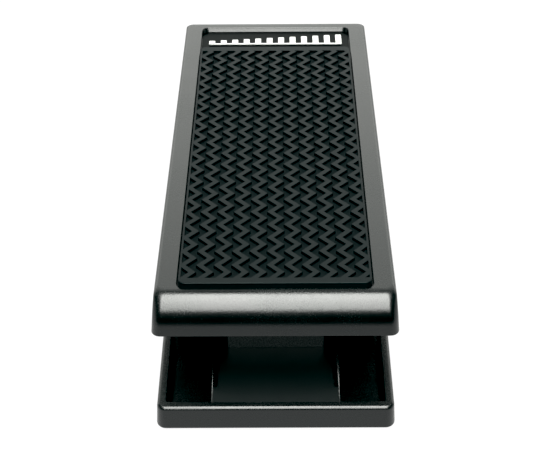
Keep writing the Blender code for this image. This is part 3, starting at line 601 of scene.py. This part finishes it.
def cut_cable_way(shell):
    """The gland's pocket and hole in the toe wall, and the way on into the trough."""
    pocket = block((-POCKET_HALF, TROUGH_TOE + 2.0, 1.9), (POCKET_HALF, POCKET_END, BASE_RIM + 2))
    cut(shell, "gland_pocket", pocket)
    hole = rod("Y", (0, 0, GLAND_Z), GLAND_RADIUS + GAP, POCKET_END - 1, BASE_END + 1)
    cut(shell, "gland_hole", hole)
    way_in = block((-3.0, TROUGH_TOE - 1.0, 3.0), (3.0, TROUGH_TOE + 3.0, DECK_UNDER - 0.6))
    cut(shell, "gland_way_in", way_in)


def make_base(materials):
    """The tray, with its deck, housing walls, cheeks and pedestals, and the trough under them."""
    shell = solid("base_shell", tray())
    deck_end = INSIDE_END + 1.0
    low = (-HOUSING_HALF, -deck_end, FLOOR_TOP - 1.0)
    join(shell, "deck", soften(block(low, (HOUSING_HALF, deck_end, DECK_TOP))))
    join(shell, "housing_walls", housing_walls())
    join(shell, "cheeks", cheeks())
    join(shell, "pedestals", pedestals())
    low = (-TROUGH_HALF, TROUGH_HEEL, BASE_BOTTOM - 1)
    cut(shell, "trough", block(low, (TROUGH_HALF, TROUGH_TOE, DECK_UNDER)))
    join(shell, "bosses", bosses())
    reach = 30.0  # past both housing walls
    axle = rod("X", (0, ROCK_AXIS.y, ROCK_AXIS.z), AXLE_RADIUS + GAP, -reach, reach)
    cut(shell, "axle_hole", axle)
    cut(shell, "screw_holes", screw_holes())
    cut(shell, "foot_recesses", foot_recesses())
    cut(shell, "switch_window", switch_window())
    cut_cable_way(shell)
    settle(shell, LEVEL, "base", materials["base"], ["base_casing"])


# ---------------------------------------------------------------- materials

# A finish is (colour, roughness, size and depth of its grain in millimetres).
CASE_FINISH = ((0.0002, 0.0012, 0.0011), 0.25, 0.6, 0.035)
CASE_SPECULAR = 0.43
BASE_DULLER = 0.02
DECK_ROUGHNESS = 0.4
# Painted light: a paler colour on the pedestals, and this share of it on the deck, stands in for the
# light they catch.
DECK_PAINTED_LIGHT_SHARE = 0.25  # beside the pedestals' 1
PEDESTAL_PAINTED_LIGHT = (0.007, 0.010, 0.010)
MAT_FINISH = ((0.0002, 0.0011, 0.0013), 0.46, 0.5, 0.02)
MAT_SPECULAR = 0.12
MAT_TINT = (0.82, 1.0, 1.0, 1.0)
GROOVE_ROUGHNESS = 0.85
PANEL_FINISH = ((0.0008, 0.0014, 0.0014), 0.35, 0.5, 0.006)
PANEL_SPECULAR = 0.03


def add(tree, kind, inputs=None, **settings):
    """A shader node with its settings. An input takes a value, or the socket that feeds it."""
    made = tree.nodes.new("ShaderNode" + kind)
    for key, value in settings.items():
        setattr(made, key, value)
    for key, value in (inputs or {}).items():
        if isinstance(value, bpy.types.NodeSocket):
            tree.links.new(value, made.inputs[key])
        else:
            made.inputs[key].default_value = value
    return made


def noise(tree, size_mm, detail, stretch=(1, 1, 1)):
    """Noise whose features are about size_mm across, pulled out along an axis by stretch."""
    coordinates = add(tree, "TexCoord").outputs["Object"]
    scale = [1 / (size_mm * MM * factor) for factor in stretch]
    turn = (0.5, 0.3, 0.8)  # so that the noise's lattice lies along no face
    placed = {"Vector": coordinates, "Scale": scale, "Rotation": turn}
    mapping = add(tree, "Mapping", placed)
    inputs = {"Vector": mapping.outputs[0], "Scale": 1.0, "Detail": detail, "Roughness": 0.55}
    return add(tree, "TexNoise", inputs).outputs["Fac"]


def remap(tree, value, low, high, to_low, to_high):
    """Value, moved from the range low to high into to_low to to_high, and held inside it."""
    inputs = {"Value": value, "From Min": low, "From Max": high, "To Min": to_low}
    inputs["To Max"] = to_high
    return add(tree, "MapRange", inputs).outputs["Result"]


def blend_colours(tree, factor, first, second):
    """From the first colour at factor 0 to the second at 1. Each is three values or a socket."""
    mix = add(tree, "Mix", {"Factor": factor}, data_type="RGBA")
    for socket, value in ((mix.inputs[6], first), (mix.inputs[7], second)):
        if isinstance(value, bpy.types.NodeSocket):
            tree.links.new(value, socket)
        else:
            socket.default_value = (*value, 1.0)
    return mix.outputs[2]


def finish_of(name, metallic=0.0, specular=0.5):
    """A new material, and its tree and Principled shader."""
    material = bpy.data.materials.new(name)
    material.use_nodes = True
    tree = material.node_tree
    shader = tree.nodes["Principled BSDF"]
    shader.inputs["Metallic"].default_value = metallic
    shader.inputs["Specular IOR Level"].default_value = specular
    return material, tree, shader


def bump(tree, shader, height, depth_mm):
    """Relief on a shader, depth_mm deep where height goes from 0 to 1."""
    inputs = {"Height": height, "Distance": depth_mm * MM, "Strength": 1.0}
    made = add(tree, "Bump", inputs)
    tree.links.new(made.outputs["Normal"], shader.inputs["Normal"])


def moulded(name, colour, roughness, grain_mm, grain_depth, specular=0.5, variation=0.18):
    """Moulded plastic or rubber: grain, and slow drifts of tone and gloss."""
    material, tree, shader = finish_of(name, specular=specular)
    cloud = noise(tree, 22.0, 4.0)
    grain = noise(tree, grain_mm, 2.0)
    tone = remap(tree, cloud, 0.3, 0.7, 0.0, 1.0)
    darker = [c * (1 - variation) for c in colour]
    lighter = [c * (1 + variation) for c in colour]
    tree.links.new(blend_colours(tree, tone, darker, lighter), shader.inputs["Base Color"])
    dull = remap(tree, cloud, 0.3, 0.7, roughness - 0.03, roughness + 0.03)
    speckle = remap(tree, grain, 0.3, 0.7, -0.03, 0.03)
    total = add(tree, "Math", {0: dull, 1: speckle}, operation="ADD").outputs[0]
    tree.links.new(total, shader.inputs["Roughness"])
    bump(tree, shader, grain, grain_depth)
    return material


def mat_finish():
    """Rubber that is satin on its ridges, and dull on the floors of its grooves."""
    material = moulded("mat_rubber", *MAT_FINISH, specular=MAT_SPECULAR)
    tree = material.node_tree
    shader = tree.nodes["Principled BSDF"]
    shader.inputs["Specular Tint"].default_value = MAT_TINT
    satin = shader.inputs["Roughness"].links[0].from_socket
    upwards = TILTED.inverted().row[2]
    coordinates = add(tree, "TexCoord").outputs["Object"]
    inputs = {0: coordinates, 1: upwards.xyz}
    height = add(tree, "VectorMath", inputs, operation="DOT_PRODUCT").outputs["Value"]
    inputs = {0: MAT_HIGH.z - upwards.w, 1: height}
    depth = add(tree, "Math", inputs, operation="SUBTRACT").outputs[0]
    sunk = remap(tree, depth, 0.3, GROOVE_DEPTH - 0.1, 0.0, 1.0)
    dull = remap(tree, sunk, 0.0, 1.0, satin, GROOVE_ROUGHNESS)
    tree.links.new(dull, shader.inputs["Roughness"])
    return material


def within(tree, parts, mask, half_x, half_y):
    """The mask, cut down to the points whose X and Y lie inside a rectangle in millimetres."""
    for axis, half in (("X", half_x), ("Y", half_y)):
        distance = add(tree, "Math", {0: parts.outputs[axis]}, operation="ABSOLUTE").outputs[0]
        inside = remap(tree, distance, (half + 0.1) * MM, (half + 0.4) * MM, 1.0, 0.0)
        mask = add(tree, "Math", {0: mask, 1: inside}, operation="MULTIPLY").outputs[0]
    return mask


def base_finish():
    """The casing's plastic, with a dull deck, and painted light: a paler colour on the pedestals and
    a little on the deck.
    """
    tone, gloss, *grain = CASE_FINISH
    material = moulded("base_plastic", tone, gloss + BASE_DULLER, *grain, specular=CASE_SPECULAR)
    tree = material.node_tree
    shader = tree.nodes["Principled BSDF"]
    roughness = shader.inputs["Roughness"]
    satin = roughness.links[0].from_socket
    colour = shader.inputs["Base Color"]
    clean = colour.links[0].from_socket
    parts = add(tree, "SeparateXYZ", {"Vector": add(tree, "TexCoord").outputs["Object"]})
    low, high = (DECK_TOP + 0.1) * MM, (DECK_TOP + 0.5) * MM
    up_to_deck = remap(tree, parts.outputs["Z"], low, high, 1.0, 0.0)
    over_deck = remap(tree, parts.outputs["Z"], low, high, 0.0, 1.0)
    deck = within(tree, parts, up_to_deck, HOUSING_HALF, INSIDE_END)
    pedestal = within(tree, parts, over_deck, PEDESTAL_HALF, INSIDE_END)
    # Painted light: the pedestals' mask and a share of the deck's mask lighten the colour.
    inputs = {0: deck, 1: DECK_PAINTED_LIGHT_SHARE, 2: pedestal}
    painted_light = add(tree, "Math", inputs, operation="MULTIPLY_ADD").outputs[0]
    tree.links.new(remap(tree, deck, 0.0, 1.0, satin, DECK_ROUGHNESS), roughness)
    tree.links.new(blend_colours(tree, painted_light, clean, PEDESTAL_PAINTED_LIGHT), colour)
    return material


def metal(name, colour, roughness, stretch):
    """Plated or turned metal with fine drawn scratches along one axis."""
    material, tree, shader = finish_of(name, metallic=1.0)
    scratches = noise(tree, 0.25, 3.0, stretch=stretch)
    cloud = noise(tree, 6.0, 3.0)
    tone = remap(tree, cloud, 0.3, 0.7, 0.0, 1.0)
    darker = [c * 0.85 for c in colour]
    tree.links.new(blend_colours(tree, tone, darker, colour), shader.inputs["Base Color"])
    dull = remap(tree, scratches, 0.3, 0.7, roughness - 0.07, roughness + 0.07)
    tree.links.new(dull, shader.inputs["Roughness"])
    bump(tree, shader, scratches, 0.01)
    return material


def nylon_finish():
    """Milky nylon: light enters it a little, and its tone drifts."""
    material = moulded("nylon", (0.62, 0.60, 0.53), 0.42, 0.8, 0.006, variation=0.06)
    shader = material.node_tree.nodes["Principled BSDF"]
    shader.inputs["Subsurface Weight"].default_value = 0.15
    shader.inputs["Subsurface Scale"].default_value = 0.001
    return material


def board_finish():
    """Green solder mask over copper tracks, with a bare pad here and there."""
    material, tree, shader = finish_of("circuit_board")
    coordinates = add(tree, "TexCoord").outputs["Object"]
    squares = add(tree, "Mapping", {"Vector": coordinates, "Scale": [1 / (2.5 * MM)] * 3})
    cells = add(tree, "TexVoronoi", {"Vector": squares.outputs[0], "Scale": 1.0})
    cells.distance = "CHEBYCHEV"
    lines = add(tree, "TexVoronoi", {"Vector": squares.outputs[0], "Scale": 0.6})
    lines.distance = "MANHATTAN"
    lines.feature = "F2"
    track = remap(tree, lines.outputs["Distance"], 0.82, 0.86, 0.0, 1.0)
    green = blend_colours(tree, track, (0.012, 0.10, 0.035), (0.03, 0.19, 0.07))
    pad = remap(tree, cells.outputs["Distance"], 0.16, 0.13, 0.0, 1.0)
    tinned = blend_colours(tree, pad, green, (0.60, 0.58, 0.52))
    tree.links.new(tinned, shader.inputs["Base Color"])
    tree.links.new(remap(tree, pad, 0, 1, 0.0, 0.9), shader.inputs["Metallic"])
    tree.links.new(remap(tree, track, 0, 1, 0.30, 0.38), shader.inputs["Roughness"])
    bump(tree, shader, track, 0.03)
    return material


def make_materials():
    """Every material of the pedal, by the key that NODE_MATERIALS and the pieces use."""
    return {
        "case": moulded("case_plastic", *CASE_FINISH, specular=CASE_SPECULAR),
        "base": base_finish(),
        "plate": moulded("plate_plastic", (0.012, 0.012, 0.0125), 0.45, 0.9, 0.03),
        "mat": mat_finish(),
        "rubber": moulded("black_rubber", (0.011, 0.011, 0.011), 0.7, 0.6, 0.03, specular=0.35),
        "panel": moulded("panel_plastic", *PANEL_FINISH, specular=PANEL_SPECULAR),
        "mark": moulded("white_ink", (0.50, 0.51, 0.50), 0.38, 0.5, 0.004, variation=0.02),
        "steel": metal("bright_steel", (0.60, 0.60, 0.59), 0.28, (8, 1, 1)),
        "black_steel": metal("black_steel", (0.07, 0.07, 0.072), 0.38, (1, 4, 1)),
        "brass": metal("brass", (0.72, 0.55, 0.24), 0.30, (8, 1, 1)),
        "nylon": nylon_finish(),
        "board": board_finish(),
        "red": moulded("red_lead", (0.42, 0.012, 0.010), 0.40, 0.8, 0.006),
        "white": moulded("white_lead", (0.70, 0.70, 0.68), 0.40, 0.8, 0.006, variation=0.05),
        "black": moulded("black_lead", (0.012, 0.012, 0.012), 0.40, 0.8, 0.006),
    }


# How the names of the CAD nodes that still show start. The longest start wins.
NODE_MATERIALS = {
    "plate": ["bottom_plate"],
    "rubber": ["rubber_foot", "stop_pad", "cable_gland"],
    "steel": [
        "axle",
        "potentiometer_body",
        "potentiometer_washer",
        "potentiometer_nut",
        "potentiometer_bracket",
    ],
    "black_steel": [
        "retaining_clip",
        "plate_screw",
        "board_screw",
        "bracket_screw",
        "sector_screw",
    ],
    "brass": ["friction_washer", "potentiometer_shaft"],
    "nylon": ["axle_bush", "sector_gear", "pinion_gear", "switch_slider"],
    "board": ["circuit_board"],
    "red": ["lead_red"],
    "white": ["lead_white"],
    "black": ["lead_black", "switch_body"],
}


def dress_nodes(materials):
    """Gives each CAD node that still shows its material, and rounds its edges a little."""
    kinds = [(start, key) for key, starts in NODE_MATERIALS.items() for start in starts]
    kinds.sort(key=lambda kind: len(kind[0]), reverse=True)
    for name, node in frame["nodes"].items():
        if node.hide_render:
            continue
        key = next(key for start, key in kinds if name.startswith(start))
        node.data.materials.clear()
        node.data.materials.append(materials[key])
        weld = node.modifiers.new("weld", "WELD")
        weld.merge_threshold = 2e-6
        rounding = node.modifiers.new("rounding", "BEVEL")
        rounding.width = 0.12 * MM
        rounding.segments = 2
        rounding.limit_method = "ANGLE"
        rounding.angle_limit = math.radians(40)
        rounding.harden_normals = True


# ---------------------------------------------------------------- studio


def emitter(name, strength):
    """A material that only glows, in white."""
    material = bpy.data.materials.new(name)
    material.use_nodes = True
    tree = material.node_tree
    tree.nodes.clear()
    glow = add(tree, "Emission", {"Color": (1.0, 1.0, 1.0, 1.0), "Strength": strength})
    output = add(tree, "OutputMaterial")
    tree.links.new(glow.outputs[0], output.inputs["Surface"])
    return material


def floor_finish():
    """Pale floor that is nearly white by itself, and takes a faint shadow."""
    material = emitter("pale_floor", 0.92)
    tree = material.node_tree
    glow = tree.nodes["Emission"]
    dull = add(tree, "BsdfDiffuse", {"Color": (0.05, 0.05, 0.05, 1.0)})
    both = add(tree, "AddShader", {0: glow.outputs[0], 1: dull.outputs[0]})
    tree.links.new(both.outputs[0], tree.nodes["Material Output"].inputs["Surface"])
    return material


def flag_finish(near, fade):
    """Dull black that fades out towards the object."""
    material, tree, shader = finish_of("flag_black", specular=0.0)
    shader.inputs["Base Color"].default_value = (0.002, 0.002, 0.002, 1.0)
    shader.inputs["Roughness"].default_value = 1.0
    parts = add(tree, "SeparateXYZ", {"Vector": add(tree, "TexCoord").outputs["Object"]})
    cover = remap(tree, parts.outputs["Y"], near - fade, near, 1.0, 0.0)
    tree.links.new(cover, shader.inputs["Alpha"])
    return material


def stage_sheet(name, outline, material):
    """A flat piece of the studio, from its corners in metres."""
    bm = bmesh.new()
    bm.faces.new([bm.verts.new(point) for point in outline])
    obj = solid(name, bm)
    obj.data.materials.append(material)
    return obj


def make_floor():
    """A wide sheet under the pedal."""
    reach = 6.0
    corners = [(-reach, -reach, 0), (reach, -reach, 0), (reach, reach, 0), (-reach, reach, 0)]
    stage_sheet("floor", corners, floor_finish())


def make_backdrop():
    """A white cylinder far round the object, which only the camera sees."""
    radius = 5.5
    wall = solid("backdrop", rod("Z", (0, 0, 0), radius, -0.5, 6.0, 64))
    wall.data.materials.append(emitter("backdrop_white", 1.05))
    wall.visible_diffuse = False
    wall.visible_glossy = False
    wall.visible_transmission = False
    wall.visible_shadow = False


def make_flags():
    """Black sheets before the heel, which only reflections and soft light see."""
    near = -0.188
    far = -0.375
    half = 0.4
    top = 0.085
    lift = 0.001
    material = flag_finish(near, fade=0.045)
    lying = [(-half, far, lift), (half, far, lift), (half, near, lift), (-half, near, lift)]
    upright = [(-half, far, 0), (half, far, 0), (half, far, top), (-half, far, top)]
    for name, corners in (("flag_lying", lying), ("flag_upright", upright)):
        flag = stage_sheet(name, corners, material)
        flag.visible_camera = False
        flag.visible_shadow = False


def band(tree, value, low, high, low_soft, high_soft):
    """1 between low and high, falling smoothly to 0 across each of them."""
    rise = {"Value": value, "From Min": low - low_soft, "From Max": low + low_soft}
    fall = {"Value": value, "From Min": high - high_soft, "From Max": high + high_soft}
    fall.update({"To Min": 1.0, "To Max": 0.0})
    up = add(tree, "MapRange", rise, interpolation_type="SMOOTHSTEP").outputs[0]
    down = add(tree, "MapRange", fall, interpolation_type="SMOOTHSTEP").outputs[0]
    return add(tree, "Math", {0: up, 1: down}, operation="MULTIPLY").outputs[0]


def make_world():
    """Soft studio light: a long softbox over the heel, dim walls beyond the toe, dim low sides.

    The height angle runs from the heel's horizon, 0, over the top, 90, to the toe's, 180."""
    world = bpy.data.worlds.new("studio")
    world.use_nodes = True
    bpy.context.scene.world = world
    tree = world.node_tree
    way = add(tree, "TexCoord").outputs["Generated"]
    parts = add(tree, "SeparateXYZ", {"Vector": way})
    back = add(tree, "Math", {0: parts.outputs["Y"], 1: -1.0}, operation="MULTIPLY").outputs[0]
    angle = add(tree, "Math", {0: parts.outputs["Z"], 1: back}, operation="ARCTAN2").outputs[0]
    degrees = add(tree, "Math", {0: angle}, operation="DEGREES").outputs[0]
    aside = add(tree, "Math", {0: parts.outputs["X"]}, operation="ABSOLUTE").outputs[0]
    softbox_low, softbox_high = 32.0, 111.0
    softbox = remap(tree, degrees, softbox_low, 85.0, 14.5, 24.5)
    wide = band(tree, aside, -1.0, 0.85, 0.1, 0.1)
    narrow = band(tree, aside, -1.0, 0.19, 0.1, 0.13)
    low_sides = band(tree, parts.outputs["Z"], -1.0, 0.4, 0.1, 0.2)
    lights = [
        (band(tree, degrees, softbox_low, softbox_high, 5.0, 3.0), narrow, softbox),
        (band(tree, degrees, 133.0, 170.0, 5.0, 5.0), wide, 1.8),
        (band(tree, degrees, 150.0, 185.0, 8.0, 8.0), wide, 1.2),
        (band(tree, aside, 0.9, 2.0, 0.06, 0.1), low_sides, 0.9),
    ]
    total = 0.02
    for height, side, strength in lights:
        mask = add(tree, "Math", {0: height, 1: side}, operation="MULTIPLY").outputs[0]
        inputs = {0: mask, 1: strength, 2: total}
        total = add(tree, "Math", inputs, operation="MULTIPLY_ADD").outputs[0]
    tree.links.new(total, tree.nodes["Background"].inputs["Strength"])
    tree.nodes["Background"].inputs["Color"].default_value = (0.985, 1.0, 0.96, 1.0)


def make_camera():
    """Over the heel, on the centre line, looking down along the tread."""
    place = (0.0021, -0.4561, 0.3979)
    heading, downward, lean = 0.31, 41.06, -0.44
    data = bpy.data.cameras.new("camera")
    data.sensor_width = 36.0
    data.lens = 83.26
    data.clip_start = 0.01
    data.clip_end = 50.0
    camera = bpy.data.objects.new("camera", data)
    turn = Matrix.Rotation(math.radians(heading), 4, "Z")
    tip = Matrix.Rotation(math.radians(90 - downward), 4, "X")
    roll = Matrix.Rotation(math.radians(lean), 4, "Z")
    camera.matrix_world = Matrix.Translation(place) @ turn @ tip @ roll
    bpy.context.scene.collection.objects.link(camera)
    bpy.context.scene.camera = camera


def set_contrast():
    """The photograph's tones: plain sRGB whose deepest blacks are lost, red first."""
    view = bpy.context.scene.view_settings
    view.view_transform = "Standard"
    view.use_curve_mapping = True
    view.curve_mapping.black_level = (0.0065, 0.0045, 0.0045)
    view.curve_mapping.update()


def main():
    """The studio first, then the pedal's pieces, then the CAD nodes that still show."""
    set_contrast()
    materials = make_materials()
    make_camera()
    make_world()
    make_floor()
    make_backdrop()
    make_flags()
    make_treadle(materials)
    make_mat(materials)
    make_badge(materials)
    make_base(materials)
    dress_nodes(materials)


main()
